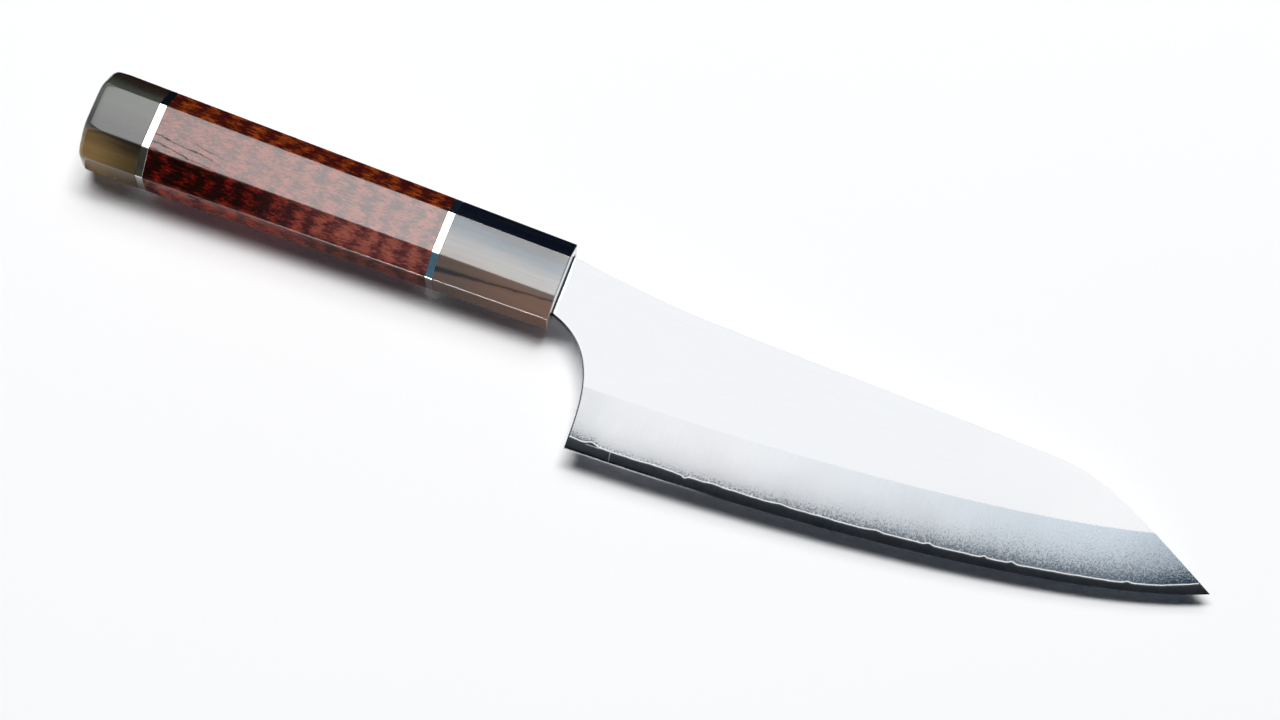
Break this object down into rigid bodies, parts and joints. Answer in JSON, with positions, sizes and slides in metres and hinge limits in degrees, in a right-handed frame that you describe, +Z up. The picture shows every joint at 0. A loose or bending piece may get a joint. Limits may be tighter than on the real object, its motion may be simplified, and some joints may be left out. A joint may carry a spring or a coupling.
{
  "type": "bunka knife",
  "caption": "Kitchen knife with an angled tip: a laminated steel blade with a ground bevel, set by its hidden tang in an octagonal wooden handle with horn ends and metal spacers.",
  "frame": {"origin": "middle of the knife's bounding box, on the surface it lies on", "axes": "+X from the butt to the tip, +Y from the cutting edge to the spine, +Z up, out of the blade's right side"},
  "size_m": [0.3228, 0.0548, 0.0243],
  "materials": {
    "core_steel": "polished hard steel, dark along the edge",
    "cladding_steel": "satin flats, fine speckled haze on the bevel",
    "horn": "polished marbled buffalo horn",
    "nickel_silver": "polished nickel silver, a white brass",
    "snakewood": "figured snakewood under a clear gloss finish",
    "dowel_wood": "plain hardwood, unfinished",
    "bedding_resin": "cast hard resin"
  },
  "bodies": {
    "root": {"blade_core": "core_steel", "blade_cladding_right": "cladding_steel", "blade_cladding_left": "cladding_steel", "ferrule": "horn", "front_spacer": "nickel_silver", "handle_body": "snakewood", "rear_spacer": "nickel_silver", "butt_cap": "horn", "core_dowel": "dowel_wood", "tang_bedding": "bedding_resin"}
  },
  "joints": []
}
